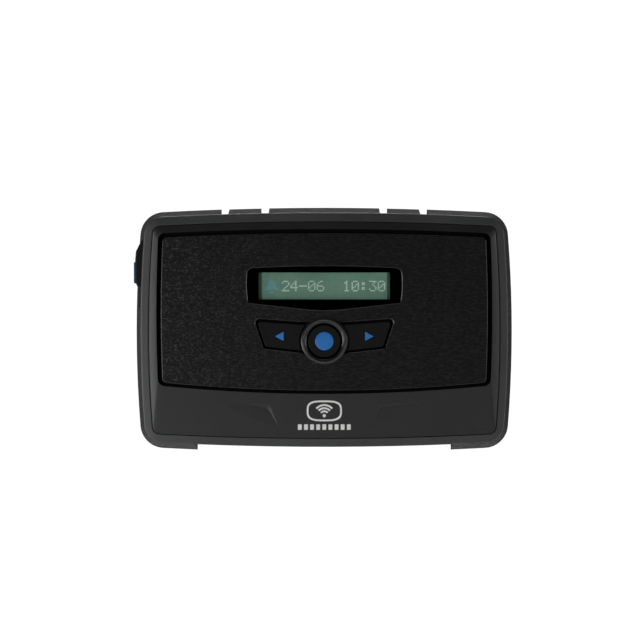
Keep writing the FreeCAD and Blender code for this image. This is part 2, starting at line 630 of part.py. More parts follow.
def key_hole_bevel():
    """The flared mouth of the left key's opening."""
    low, high = PANEL_D - 0.3, PANEL_D + 0.1
    inner, outer = (rounded_wire(inset_corners(SIDE_KEY_HOLE, t), SIDE_KEY_RADII, d)
                    for t, d in ((0.0, low), (-0.4, high)))
    return Part.makeLoft([inner, outer], True, True)


def face_panel():
    body = prism(PANEL, LEDGE_D, PANEL_D)
    body = body.makeFillet(0.45, edges_at(body, PANEL_D))
    lens_seat = LENS_FRONT_D - LENS_T - MASK_T
    body = cut(body, [
        lens_block(0, lens_seat, PANEL_D + 1),
        window(LEDGE_D - 1, lens_seat + 1, WINDOW_W + 4, WINDOW_H + 4),
    ])
    body = body.makeChamfer(0.3, edges_at(body, PANEL_D, high=40.0))
    hole = side_key_shape(0, LEDGE_D - 1, PANEL_D + 1, COLLAR_OUT_R)
    bevel = key_hole_bevel()
    return cut(body, [
        hole, mirrored(hole), bevel, mirrored(bevel), rod(0, KEY_Z, COLLAR_IN_R, LEDGE_D - 1, PANEL_D + 1),
        rod(0, KEY_Z, COLLAR_OUT_R, PANEL_D - 1.2, PANEL_D + 1),
    ] + [rod(x, z, 0.9, LEDGE_D - 1, LEDGE_D + 1.4) for x, z in PANEL_SEATS])


def panel_screws():
    """Screws driven from behind, through the fascia's ledge into the panel."""
    screws = []
    for x, z in PANEL_SEATS:
        head = rod(x, z, 1.6, FASCIA_BACK_D - 1.2, FASCIA_BACK_D)
        head = head.makeFillet(0.5, edges_at(head, FASCIA_BACK_D - 1.2))
        slot = centred(x, z, 2.4, 0.4, FASCIA_BACK_D - 2, FASCIA_BACK_D - 0.6)
        screws.append(head.fuse(rod(x, z, 0.9, FASCIA_BACK_D, LEDGE_D + 1.4)).cut(slot))
    return screws


def display_lens():
    back = LENS_FRONT_D - LENS_T
    lens = lens_block(-0.12, back, LENS_FRONT_D)
    return lens.makeFillet(0.3, edges_at(lens, LENS_FRONT_D))


def lens_mask():
    back = LENS_FRONT_D - LENS_T - MASK_T
    return lens_block(-0.12, back, back + MASK_T).cut(window(back - 1, back + 2))


def select_collar():
    low, top = PANEL_D - 1.2, PANEL_D + 0.8
    inner, outer = COLLAR_IN_R, COLLAR_OUT_R
    start, base, steps = inner + 0.25, PANEL_D + 0.1, 12
    crest = []
    for i in range(steps + 1):
        turn = math.pi * i / steps
        across, rise = (1 - math.cos(turn)) / 2, abs(math.sin(turn)) ** 0.55
        crest.append((start + (outer - start) * across, base + (top - base) * rise))
    return spun([(inner, low), (inner, PANEL_D - 0.1)] + crest + [(outer, low)], 0, KEY_Z)


def arrow(side):
    """The triangular mark on a side key, pointing outward."""
    tip, base, half_h, z = 22.1, 18.3, 2.1, KEY_Z + 2.15
    low, high = KEY_FRONT_D - 0.9, KEY_FRONT_D + 0.05
    corners = [(side * tip, z), (side * base, z + half_h), (side * base, z - half_h)]
    if side > 0:
        corners = [corners[0], corners[2], corners[1]]
    return raise_wire(rounded_wire(corners, [0.25] * 3, low), low, high)


def side_key():
    """The left key cap with its retaining flange and stem."""
    cap = side_key_shape(SIDE_KEY_GAP, FLANGE_D + 0.4, KEY_FRONT_D, COLLAR_OUT_R + 0.5)
    cap = cap.makeFillet(0.4, edges_at(cap, KEY_FRONT_D))
    flange = side_key_shape(-0.9, FLANGE_D, FLANGE_D + FLANGE_T, COLLAR_OUT_R + 0.5)
    stem = rod(*SWITCHES["left"], STEM_R, STEM_TIP_D, FLANGE_D + 0.2)
    return fuse([cap, flange, stem])


def select_key():
    cap = rod(0, KEY_Z, SELECT_R, FLANGE_D + 0.4, SELECT_FRONT_D)
    cap = cap.makeFillet(0.4, edges_at(cap, SELECT_FRONT_D))
    flange = rod(0, KEY_Z, COLLAR_IN_R + 1.1, FLANGE_D, FLANGE_D + FLANGE_T)
    stem = rod(0, KEY_Z, STEM_R, STEM_TIP_D, FLANGE_D + 0.2)
    dot_seat = rod(0, KEY_Z, DOT_R + 0.02, SELECT_FRONT_D - 1.2, SELECT_FRONT_D + 1)
    return fuse([cap, flange, stem]).cut(dot_seat)


def select_dot():
    """The domed insert in the middle of the select key."""
    low, rise, steps = SELECT_FRONT_D - 1.2, 0.35, 6
    angles = [math.pi / 2 * i / steps for i in range(steps)]
    dome = [(DOT_R * math.cos(a), SELECT_FRONT_D + rise * math.sin(a)) for a in angles]
    return spun([(0, low), (DOT_R, low)] + dome + [(0, SELECT_FRONT_D + rise)], 0, KEY_Z)


# ---- the memory module ----
def module_case():
    body = box(MODULE_OUT_X, -66.0, MODULE_Z - MODULE_H / 2, MODULE_Z + MODULE_H / 2,
               MODULE_D - MODULE_T / 2, MODULE_D + MODULE_T / 2)
    ends = [e for e in body.Edges if all(v.Point.x < MODULE_OUT_X + 0.1 for v in e.Vertexes)]
    body = body.makeFillet(0.7, ends)
    grips = [box(MODULE_OUT_X - 1, MODULE_OUT_X + 0.35, MODULE_Z + t - 0.4, MODULE_Z + t + 0.4,
                 MODULE_D - 1.6, MODULE_D + 1.6) for t in (-2.4, 0, 2.4)]
    pocket = box(-72.0, -65.0, MODULE_Z - 3.6, MODULE_Z + 3.6, MODULE_D - 0.5, MODULE_D + 0.5)
    return cut(body, grips + [pocket])


def module_board():
    return box(-72.0, -61.5, MODULE_Z - 3.6, MODULE_Z + 3.6, MODULE_D - 0.5, MODULE_D + 0.5)


def module_contacts():
    return [box(-65.0, -61.6, MODULE_Z + t - 0.5, MODULE_Z + t + 0.5, MODULE_D + 0.5, MODULE_D + 0.58)
            for t in (-2.7, -0.9, 0.9, 2.7)]


def memory_socket():
    foot = MAIN_DECK_D
    block = box(-65.6, -55.5, MODULE_Z - 6.0, MODULE_Z + 6.0, foot, MODULE_D + 2.6)
    return block.cut(box(-66.5, -60.5, MODULE_Z - 3.8, MODULE_Z + 3.8, MODULE_D - 0.7, MODULE_D + 0.8))


def build_base():
    shell = flared_shell()
    save("rear_tray", rear_tray(shell))
    for side, name in ((-1, "left"), (1, "right")):
        save(f"latch_tab_{name}", latch_tab(shell, side))
    save("module_cowl", module_cowl())

    pins, links = lcd_pins(), link_pins()
    x0, x1, z0, z1 = BOARD_BOX
    main_holes = [(x, z, 1.3) for x, z in BOSSES + DISPLAY_POSTS]
    save("main_board", board(x0, x1, z0, z1, BOARD_D, main_holes, links))
    save("board_screws", [pan_screw(x, z, MAIN_DECK_D, 6.0) for x, z in BOSSES])
    save("display_posts", [ring(x, z, 2.6, 1.05, MAIN_DECK_D, DISPLAY_BOARD_D) for x, z in DISPLAY_POSTS])
    save("display_board", board(-46, 46, -13, 39.5, DISPLAY_BOARD_D,
                                [(x, z, 1.3) for x, z in DISPLAY_POSTS + LCD_POSTS], pins + links))
    save("display_screws", [pan_screw(x, z, DISPLAY_DECK_D, 6.0, head_h=1.5) for x, z in DISPLAY_POSTS])
    save("board_link_header", [cut(centred(4.0, 8.27, 20.8, 5.2, MAIN_DECK_D, DISPLAY_BOARD_D), links)])
    save("board_link_pins", links)
    save("lcd_posts", [ring(x, z, 2.2, 1.05, DISPLAY_DECK_D, LCD_BOARD_D) for x, z in LCD_POSTS])
    bezel, tabs = lcd_bezel()
    half_w, half_h = LCD_BOARD_W / 2, LCD_BOARD_H / 2
    save("lcd_board", board(-half_w, half_w, LCD_Z - half_h, LCD_Z + half_h, LCD_BOARD_D,
                            [(x, z, 1.3) for x, z in LCD_POSTS], pins + tabs))
    save("lcd_screws", [pan_screw(x, z, LCD_DECK_D, 5.0, head_r=2.2, head_h=1.4) for x, z in LCD_POSTS])
    save("lcd_header", cut(centred(0, PIN_Z, PINS * PIN_PITCH, 2.5, DISPLAY_DECK_D, LCD_BOARD_D), pins))
    save("lcd_pins", pins)
    save("lcd_bezel", bezel)
    save("lcd_backlight", centred(0, LCD_Z, 66.0, 17.0, LCD_DECK_D, 24.0))
    save("lcd_contact_strips", [centred(0, LCD_Z + s * 10.2, 60.0, 2.2, LCD_DECK_D, 24.0) for s in (-1, 1)])
    save("lcd_glass", centred(0, LCD_Z, 69.0, 22.6, 24.0, 27.0))

    parts = [tactile_switch(*at) for at in SWITCHES.values()]
    save("switch_housings", [p[0] for p in parts])
    save("switch_covers", [p[1] for p in parts])
    save("switch_legs", [leg for p in parts for leg in p[2]])
    for name, at in SWITCHES.items():
        save(f"switch_plunger_{name}", plunger(*at))

    blocks = [terminal_block(x) for x in (-42.0, -21.0, 0.0, 21.0, 42.0)]
    save("terminal_blocks", [b[0] for b in blocks])
    save("terminal_screws", [s for b in blocks for s in b[1]])
    save("relays", [relay(x, -23.4) for x in (-58.0, -33.0, 33.0, 58.0)])
    chip, leads = processor()
    save("processor", chip)
    save("processor_leads", leads)
    cans = [(-56.0, 10.0, 4.0, 11.0), (-56.0, 0.0, 4.0, 11.0), (53.0, -6.0, 3.2, 7.5)]
    save("capacitors", [capacitor(*can) for can in cans])
    save("sounder", sounder(55.0, 34.0))
    cell, holder, clip = coin_cell(58.5, 15.5)
    save("clock_cell", cell)
    save("cell_holder", holder)
    save("cell_clip", clip)
    save("memory_socket", memory_socket())


def build_cover():
    save("front_frame", front_frame())
    save("fascia", fascia())
    save("face_panel", face_panel())
    save("display_lens", display_lens())
    save("lens_mask", lens_mask())
    save("select_collar", select_collar())
    save("panel_screws", panel_screws())


def build_keys():
    left, mark = side_key(), arrow(-1)
    save("left_key", left.cut(mark))
    save("left_arrow", mark)
    right_mark = arrow(1)
    save("right_key", mirrored(left).cut(right_mark))
    save("right_arrow", right_mark)
    save("select_key", select_key())
    save("select_dot", select_dot())


def build_module():
    save("module_case", module_case())
    save("module_board", module_board())
    save("module_contacts", module_contacts())


os.makedirs(OUT, exist_ok=True)
build_base()
build_cover()
build_keys()
build_module()
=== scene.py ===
"""The look of the wall-mounted control unit: materials, display contents, badge, floor, lights and camera."""
import math

import bmesh
import bpy
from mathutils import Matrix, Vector
from mathutils.bvhtree import BVHTree


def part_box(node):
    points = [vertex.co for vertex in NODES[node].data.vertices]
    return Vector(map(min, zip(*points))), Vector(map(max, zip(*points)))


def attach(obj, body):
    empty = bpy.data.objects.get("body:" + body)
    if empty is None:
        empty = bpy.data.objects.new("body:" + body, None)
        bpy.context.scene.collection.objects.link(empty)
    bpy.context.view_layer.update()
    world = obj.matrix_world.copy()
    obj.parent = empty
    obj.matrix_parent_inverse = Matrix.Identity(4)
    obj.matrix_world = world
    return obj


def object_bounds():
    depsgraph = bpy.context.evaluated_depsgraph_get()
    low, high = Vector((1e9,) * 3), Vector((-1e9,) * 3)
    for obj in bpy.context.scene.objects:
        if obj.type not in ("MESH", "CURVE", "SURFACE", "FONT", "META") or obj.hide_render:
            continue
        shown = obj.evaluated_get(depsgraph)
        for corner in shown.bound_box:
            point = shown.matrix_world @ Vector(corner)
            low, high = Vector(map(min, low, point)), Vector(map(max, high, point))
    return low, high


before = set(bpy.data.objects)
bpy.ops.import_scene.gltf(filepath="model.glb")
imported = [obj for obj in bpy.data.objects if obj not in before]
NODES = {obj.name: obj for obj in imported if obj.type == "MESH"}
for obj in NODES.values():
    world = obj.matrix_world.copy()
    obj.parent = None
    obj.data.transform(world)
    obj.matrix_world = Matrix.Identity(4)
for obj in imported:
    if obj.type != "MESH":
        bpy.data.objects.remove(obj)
CAD_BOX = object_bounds()

# ---- sizes, in metres ----
MM = 0.001
PRINT_T = 0.03 * MM         # thickness of a printed mark
DOT_PITCH = 0.70 * MM       # display dots, centre to centre
DOT_SIZE = 0.60 * MM
CHARACTER_PITCH = 3.93 * MM
CAMERA_DISTANCE = 1.372     # from the front of the unit
CAMERA_LENS = 172.0
CAMERA_SHIFT = (-1.93 * MM, 4.1 * MM)
FLOOR_HALF = 0.9            # half the floor's width
FLOOR_DROP = 0.25           # from the unit's lowest point down to the floor
WORLD_GLOW = 0.025          # the surround's strength as a light
WORLD_SEEN = 1.05           # the surround's strength as seen by the camera


# ---- node helpers ----
class Graph:
    """A material's node tree, with short calls for the nodes used here."""

    def __init__(self, name):
        self.material = bpy.data.materials.new(name)
        self.material.use_nodes = True
        self.tree = self.material.node_tree
        self.shader = self.tree.nodes["Principled BSDF"]
        self.place = self.tree.nodes.new("ShaderNodeTexCoord").outputs["Object"]

    def link(self, a, b):
        self.tree.links.new(a, b)

    def stretched(self, scale):
        """Object coordinates multiplied per axis."""
        node = self.tree.nodes.new("ShaderNodeMapping")
        node.inputs["Scale"].default_value = scale
        self.link(self.place, node.inputs["Vector"])
        return node.outputs["Vector"]

    def noise(self, scale, detail=3.0, rough=0.55, place=None):
        node = self.tree.nodes.new("ShaderNodeTexNoise")
        node.inputs["Scale"].default_value = scale
        node.inputs["Detail"].default_value = detail
        node.inputs["Roughness"].default_value = rough
        self.link(place or self.place, node.inputs["Vector"])
        return node.outputs["Fac"]

    def across(self):
        """The object's left-to-right coordinate."""
        node = self.tree.nodes.new("ShaderNodeSeparateXYZ")
        self.link(self.place, node.inputs["Vector"])
        return node.outputs["X"]

    def cells(self, scale):
        node = self.tree.nodes.new("ShaderNodeTexVoronoi")
        node.inputs["Scale"].default_value = scale
        self.link(self.place, node.inputs["Vector"])
        return node.outputs["Distance"]

    def spread(self, value, low, high, from_low=0.3, from_high=0.7):
        """Maps a value that mostly lies between from_low and from_high to low..high."""
        node = self.tree.nodes.new("ShaderNodeMapRange")
        for socket, number in zip(node.inputs[1:5], (from_low, from_high, low, high)):
            socket.default_value = number
        self.link(value, node.inputs[0])
        return node.outputs[0]

    def blend(self, factor, a, b):
        node = self.tree.nodes.new("ShaderNodeMix")
        node.data_type = "RGBA"
        self.link(factor, node.inputs["Factor"])
        for socket, colour in ((node.inputs[6], a), (node.inputs[7], b)):
            if isinstance(colour, tuple):
                socket.default_value = (*colour, 1.0)
            else:
                self.link(colour, socket)
        return node.outputs[2]

    def math(self, operation, a, b=0.0):
        node = self.tree.nodes.new("ShaderNodeMath")
        node.operation = operation
        for socket, value in zip(node.inputs, (a, b)):
            if isinstance(value, (int, float)):
                socket.default_value = value
            else:
                self.link(value, socket)
        return node.outputs[0]

    def bump(self, height, depth, strength=1.0, under=None):
        node = self.tree.nodes.new("ShaderNodeBump")
        node.inputs["Strength"].default_value = strength
        node.inputs["Distance"].default_value = depth
        self.link(height, node.inputs["Height"])
        if under is not None:
            self.link(under, node.inputs["Normal"])
        return node.outputs["Normal"]

    def set(self, **values):
        """Constants on the shader's own sockets, named with underscores for spaces."""
        for name, value in values.items():
            self.shader.inputs[name.replace("_", " ")].default_value = value

    def wire(self, **sources):
        for name, source in sources.items():
            self.link(source, self.shader.inputs[name.replace("_", " ")])


def scaled(colour, k):
    return tuple(min(1.0, c * k) for c in colour)


# ---- materials ----
def moulded(name, colour, rough=0.5, grain=1500.0, depth=0.02, specular=0.5, mottle=0.15):
    """Moulded plastic: a fine spark-eroded grain, slight flow mottling and uneven polish from handling."""
    g = Graph(name)
    cloud = g.noise(35.0, 4.0)
    fine = g.noise(grain, 3.0, 0.6)
    patches = g.spread(cloud, 0.0, 1.0)
    g.wire(Base_Color=g.blend(patches, scaled(colour, 1 - mottle), scaled(colour, 1 + mottle)))
    g.wire(Roughness=g.math("ADD", g.spread(cloud, -0.05, 0.05), g.spread(fine, rough - 0.06, rough + 0.06)))
    g.wire(Normal=g.bump(fine, depth * MM, 0.6))
    g.set(Specular_IOR_Level=specular)
    return g.material


def textured_shell(name, colour, rough=0.55, sparkle=0.3):
    """The tray's coarser leather-like grain."""
    g = Graph(name)
    cells = g.cells(1100.0)
    cloud = g.noise(40.0, 4.0)
    fine = g.noise(2600.0, 2.0)
    pits = g.spread(cells, 0.0, 1.0, 0.1, 0.7)
    pit_rough = g.spread(cells, rough - 0.1, rough + 0.1, 0.1, 0.7)
    g.wire(Base_Color=g.blend(pits, scaled(colour, 1 - sparkle), scaled(colour, 1 + sparkle)))
    g.wire(Roughness=g.math("ADD", pit_rough, g.spread(cloud, -0.04, 0.04)))
    g.wire(Normal=g.bump(cells, 0.05 * MM, 0.7, g.bump(fine, 0.01 * MM, 0.5)))
    g.set(Specular_IOR_Level=0.12)
    return g.material


def brushed(name, colour, dust_and_glint, rough=0.42, contrast=0.95, depth=0.03, specular=0.17):
    """A face with fine horizontal brush lines of uneven length, and pale dust specks that double as painted
    glints, thickening to the left where the light comes from.
    """
    g = Graph(name)
    long_lines = g.noise(1.0, 4.0, 0.7, g.stretched((130.0, 400.0, 1400.0)))
    short_lines = g.noise(1.0, 3.0, 0.65, g.stretched((430.0, 900.0, 1600.0)))
    cloud = g.noise(22.0, 3.0)
    lines = g.math("ADD", g.math("MULTIPLY", long_lines, 0.35), g.math("MULTIPLY", short_lines, 0.65))
    shade = g.spread(lines, 0.0, 1.0, 0.46, 0.64)
    clean = g.blend(shade, scaled(colour, 1 - contrast), scaled(colour, 1 + contrast))
    # painted glints: the pale specks are partly dust and partly painted glints of light from the left, so
    # they thicken leftward
    glint_specks = g.spread(g.noise(1.0, 2.0, 0.5, g.stretched((1150.0, 1900.0, 1900.0))), 0.0, 1.0, 0.54, 0.70)
    glint_leftward = g.spread(g.across(), 1.0, 0.0, -75 * MM, 5 * MM)
    g.wire(Base_Color=g.blend(g.math("MULTIPLY", glint_specks, glint_leftward), clean, dust_and_glint))
    uneven = g.spread(lines, rough + 0.10, rough - 0.16, 0.46, 0.64)
    g.wire(Roughness=g.math("ADD", uneven, g.spread(cloud, -0.04, 0.04)))
    g.wire(Normal=g.bump(lines, depth * MM, 0.8))
    g.set(Anisotropic=0.5, Specular_IOR_Level=specular)
    return g.material


def glossy(name, colour, rough=0.12, scuffs=0.06, coat=0.0):
    """Polished plastic with faint scuffs."""
    g = Graph(name)
    cloud = g.noise(60.0, 5.0, 0.65)
    hairs = g.noise(1.0, 3.0, 0.6, g.stretched((300.0, 900.0, 4200.0)))
    g.wire(Base_Color=g.blend(g.spread(cloud, 0.0, 1.0), scaled(colour, 0.9), scaled(colour, 1.1)))
    polish = g.spread(cloud, rough - 0.02, rough + 0.02)
    g.wire(Roughness=g.math("ADD", polish, g.spread(hairs, 0.0, scuffs, 0.5, 0.75)))
    g.wire(Normal=g.bump(hairs, 0.001 * MM, 0.3))
    g.set(Coat_Weight=coat)
    return g.material


def clear_plastic(name):
    """The lens: clear, with very light haze, so that what lies behind it shows."""
    g = Graph(name)
    haze = g.noise(70.0, 4.0)
    g.wire(Roughness=g.spread(haze, 0.02, 0.07))
    g.set(Base_Color=(0.93, 0.96, 0.95, 1.0), IOR=1.12, Transmission_Weight=1.0, Specular_IOR_Level=0.35)
    return g.material


def metal(name, colour, rough=0.3):
    """Plated metal with fine drawing marks and light staining."""
    g = Graph(name)
    lines = g.noise(1.0, 3.0, 0.6, g.stretched((1500.0, 1500.0, 120.0)))
    stain = g.noise(140.0, 4.0)
    g.wire(Base_Color=g.blend(g.spread(stain, 0.0, 1.0), scaled(colour, 0.82), scaled(colour, 1.05)))
    g.wire(Roughness=g.math("ADD", g.spread(lines, rough - 0.07, rough + 0.07), g.spread(stain, -0.03, 0.05)))
    g.wire(Normal=g.bump(lines, 0.006 * MM, 0.5))
    g.set(Metallic=1.0)
    return g.material


def laminate(name, colour):
    """A circuit board: solder mask over a woven core, with a faint copper pattern underneath."""
    g = Graph(name)
    weave = g.math("MULTIPLY", g.noise(1.0, 1.0, 0.5, g.stretched((2600.0, 60.0, 120.0))),
                   g.noise(1.0, 1.0, 0.5, g.stretched((120.0, 60.0, 2600.0))))
    copper = g.spread(g.noise(1.0, 0.0, 0.5, g.stretched((500.0, 1.0, 90.0))), 0.0, 1.0, 0.5, 0.53)
    g.wire(Base_Color=g.blend(copper, scaled(colour, 0.85), scaled(colour, 1.35)))
    g.wire(Roughness=g.spread(weave, 0.22, 0.34, 0.15, 0.35))
    g.wire(Normal=g.bump(copper, 0.03 * MM, 0.4, g.bump(weave, 0.01 * MM, 0.5)))
    return g.material


def display_face(name, colour, glow):
    """The lit area of the display: a fine dot lattice with slow unevenness in the backlight."""
    g = Graph(name)
    uneven = g.noise(45.0, 2.0)
    speck = g.noise(900.0, 2.0)
    shade = g.blend(g.spread(uneven, 0.0, 1.0), scaled(colour, 0.88), scaled(colour, 1.12))
    tint = g.blend(g.spread(speck, 0.0, 0.35), shade, scaled(colour, 0.7))
    g.wire(Base_Color=tint, Emission_Color=tint, Roughness=g.spread(speck, 0.35, 0.5))
    g.set(Emission_Strength=glow)
    return g.material


def printed(name, colour, rough=0.45):
    """Pad-printed ink: nearly even, a little thin in places."""
    g = Graph(name)
    thin = g.noise(900.0, 4.0, 0.7)
    g.wire(Base_Color=g.blend(g.spread(thin, 0.0, 1.0, 0.35, 0.6), scaled(colour, 0.86), colour))
    g.wire(Roughness=g.spread(thin, rough - 0.08, rough + 0.08))
    return g.material


MATERIALS = {
    "tray": textured_shell("tray_plastic", (0.033, 0.033, 0.0345)),
    "frame": moulded("frame_plastic", (0.040, 0.041, 0.043), 0.48, 1300.0, 0.03),
    "fascia": moulded("fascia_plastic", (0.012, 0.012, 0.0125), 0.46, 1500.0, 0.02),
    # the face's pale specks are partly dust and partly painted glints
    "face": brushed("face_plastic", (0.0072, 0.0072, 0.0079), (0.045, 0.045, 0.048)),
    "lens": clear_plastic("lens_plastic"),
    "panel_edge": moulded("face_edge_plastic", (0.010, 0.010, 0.0105), 0.3, 1500.0, 0.01, 0.5),
    # painted shade: dead black for the floors and walls of the front's gaps and grooves
    "recess": moulded("recess_plastic", (0.0030, 0.0030, 0.0032), 0.8, 1500.0, 0.02, 0.1),
    "cowl": moulded("cowl_plastic", (0.006, 0.006, 0.0065), 0.55, 1300.0, 0.03, 0.15),
    "mask": glossy("mask_ink", (0.018, 0.018, 0.0185), 0.3),
    "collar": glossy("collar_plastic", (0.010, 0.010, 0.0105), 0.28, coat=0.35),
    "key": moulded("key_plastic", (0.0065, 0.0065, 0.0067), 0.42, 1600.0, 0.015, 0.13),
    "mark": moulded("mark_plastic", (0.024, 0.180, 0.550), 0.38, 900.0, 0.01, 0.35),
    "module": moulded("module_plastic", (0.003, 0.034, 0.130), 0.5, 1500.0, 0.02, 0.3),
    "board": laminate("board_laminate", (0.010, 0.105, 0.045)),
    "contact": metal("contact_metal", (0.83, 0.62, 0.25), 0.25),
    "screw": metal("screw_steel", (0.56, 0.57, 0.60), 0.3),
    "clip": metal("clip_steel", (0.62, 0.62, 0.63), 0.28),
    "can": metal("can_aluminium", (0.72, 0.73, 0.75), 0.32),
    "bezel": moulded("bezel_metal", (0.008, 0.008, 0.009), 0.35, 2200.0, 0.01),
    "glass": glossy("display_glass", (0.050, 0.105, 0.070), 0.08),
    "backlight": moulded("backlight_plastic", (0.55, 0.72, 0.50), 0.4),
    "rubber": moulded("strip_rubber", (0.30, 0.06, 0.05), 0.7),
    "component": moulded("component_plastic", (0.014, 0.014, 0.016), 0.42, 2000.0, 0.015),
    "header": moulded("header_plastic", (0.010, 0.010, 0.011), 0.5),
    "terminal": moulded("terminal_plastic", (0.020, 0.160, 0.075), 0.4),
    "relay": moulded("relay_plastic", (0.012, 0.060, 0.240), 0.35),
}
FINISH = {
    "tray": ("rear_tray", "latch_tab_left", "latch_tab_right"),
    "frame": ("front_frame",), "cowl": ("module_cowl",), "fascia": ("fascia",), "face": ("face_panel",),
    "lens": ("display_lens",), "mask": ("lens_mask",), "collar": ("select_collar",),
    "key": ("left_key", "right_key", "select_key"), "mark": ("left_arrow", "right_arrow", "select_dot"),
    "module": ("module_case",), "board": ("main_board", "display_board", "lcd_board", "module_board"),
    "contact": ("board_link_pins", "lcd_pins", "switch_legs", "module_contacts"),
    "screw": ("board_screws", "display_screws", "lcd_screws", "terminal_screws", "panel_screws"),
    "clip": ("switch_covers", "processor_leads", "clock_cell", "cell_clip"),
    "can": ("display_posts", "lcd_posts", "capacitors"), "bezel": ("lcd_bezel",), "glass": ("lcd_glass",),
    "backlight": ("lcd_backlight",), "rubber": ("lcd_contact_strips",),
    "component": ("switch_housings", "switch_plunger_left", "switch_plunger_select", "switch_plunger_right",
                  "processor", "sounder", "cell_holder", "memory_socket"),
    "header": ("board_link_header", "lcd_header"), "terminal": ("terminal_blocks",), "relay": ("relays",),
}


# How far out from the wall the front's gaps and grooves reach, per node; deeper faces get painted shade.
SHADED_GAP_DEPTH = {
    "fascia": 30.5 * MM, "face_panel": 31.9 * MM,
    "left_key": 31.0 * MM, "right_key": 31.0 * MM, "select_key": 31.0 * MM, "select_collar": 31.5 * MM,
}
# The y part of a face's normal is 1 or -1 where the face looks straight ahead or back, and 0 on a side wall.
GAP_WALL_NORMAL = 0.2           # below this the face is the wall of a gap
FACE_EDGE_NORMAL = 0.97         # from there up to this, and above the gap, it is the face panel's soft edge


def finish_frame():
    """Gives each CAD node its material, paints shade on the floors and walls of the front's gaps, and gives
    the face panel's edge its own material.
    """
    for finish, names in FINISH.items():
        for name in names:
            mesh = NODES[name].data
            mesh.materials.clear()
            mesh.materials.append(MATERIALS[finish])
    # painted shade: faces deep in a gap, or on its walls, get the dead black shade material
    for name, depth in SHADED_GAP_DEPTH.items():
        mesh = NODES[name].data
        mesh.materials.append(MATERIALS["recess"])
        for face in mesh.polygons:
            if face.center.y > -depth or abs(face.normal.y) < GAP_WALL_NORMAL:
                face.material_index = 1
    panel = NODES["face_panel"].data
    panel.materials.append(MATERIALS["panel_edge"])
    for face in panel.polygons:
        slanted = GAP_WALL_NORMAL < abs(face.normal.y) < FACE_EDGE_NORMAL
        if slanted and face.center.y < -SHADED_GAP_DEPTH["face_panel"]:
            face.material_index = 2


# ---- pieces ----
def piece(name, mesh, material, body):
    obj = bpy.data.objects.new(name, mesh)
    bpy.context.scene.collection.objects.link(obj)
    mesh.materials.append(material)
    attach(obj, body)


def plate(bm, outline, back, front, holes=()):
    """Adds a flat plate facing -Y: an (x, z) outline between two y values, with optional holes."""
    loops = [[bm.verts.new((x, front, z)) for x, z in loop] for loop in (outline, *holes)]
    edges = [bm.edges.new((loop[i - 1], loop[i])) for loop in loops for i in range(len(loop))]
    filled = bmesh.ops.triangle_fill(bm, use_beauty=True, edges=edges, normal=(0, -1, 0))
    faces = [f for f in filled["geom"] if isinstance(f, bmesh.types.BMFace)]
    solid = bmesh.ops.extrude_face_region(bm, geom=faces)
    moved = [v for v in solid["geom"] if isinstance(v, bmesh.types.BMVert)]
    bmesh.ops.translate(bm, verts=moved, vec=(0, back - front, 0))


def to_mesh(name, bm):
    bmesh.ops.recalc_face_normals(bm, faces=bm.faces)
    mesh = bpy.data.meshes.new(name)
    bm.to_mesh(mesh)
    bm.free()
    return mesh


def rounded_box(x, z, w, h, r, steps=5):
    """(x, z) points of a rounded rectangle."""
    points = []
    for cx, cz, start in ((1, 1, 0), (-1, 1, 90), (-1, -1, 180), (1, -1, 270)):
        for i in range(steps + 1):
            a = math.radians(start + 90 * i / steps)
            points.append((x + cx * (w / 2 - r) + r * math.cos(a), z + cz * (h / 2 - r) + r * math.sin(a)))
    return points


# ---- display contents ----
GLYPHS = {
    "0": (14, 17, 19, 21, 25, 17, 14), "1": (4, 12, 4, 4, 4, 4, 14), "2": (14, 17, 1, 2, 4, 8, 31),
    "3": (31, 2, 4, 2, 1, 17, 14), "4": (2, 6, 10, 18, 31, 2, 2), "6": (6, 8, 16, 30, 17, 17, 14),
    ":": (0, 12, 12, 0, 12, 12, 0), "-": (0, 0, 0, 31, 0, 0, 0), " ": (0, 0, 0, 0, 0, 0, 0),
}
BELL = (16, 56, 124, 124, 124, 254, 511, 0, 56)
DISPLAY_TEXT = "24-06  10:30"
FIELD_SIZE = (62.5 * MM, 14.0 * MM)         # the lit field, edges included
FIELD_EDGES = ((-1, 28.1 * MM), (1, 28.3 * MM))     # side, and where its darker edge begins
FIELD_EDGE_W = 2.8 * MM
TEXT_LEFT = -19.2 * MM
BELL_OFFSET = 7.6 * MM


def dots(bm, rows, x, z, y, columns=5):
    """Adds one character of dots, a number per row. x is its left edge and z its top."""
    for r, bits in enumerate(rows):
        for c in range(columns):
            if bits >> (columns - 1 - c) & 1:
                at = (x + (c + 0.5) * DOT_PITCH, z - (r + 0.5) * DOT_PITCH)
                plate(bm, rounded_box(*at, DOT_SIZE, DOT_SIZE, 0.08 * MM, 2), y, y - PRINT_T)


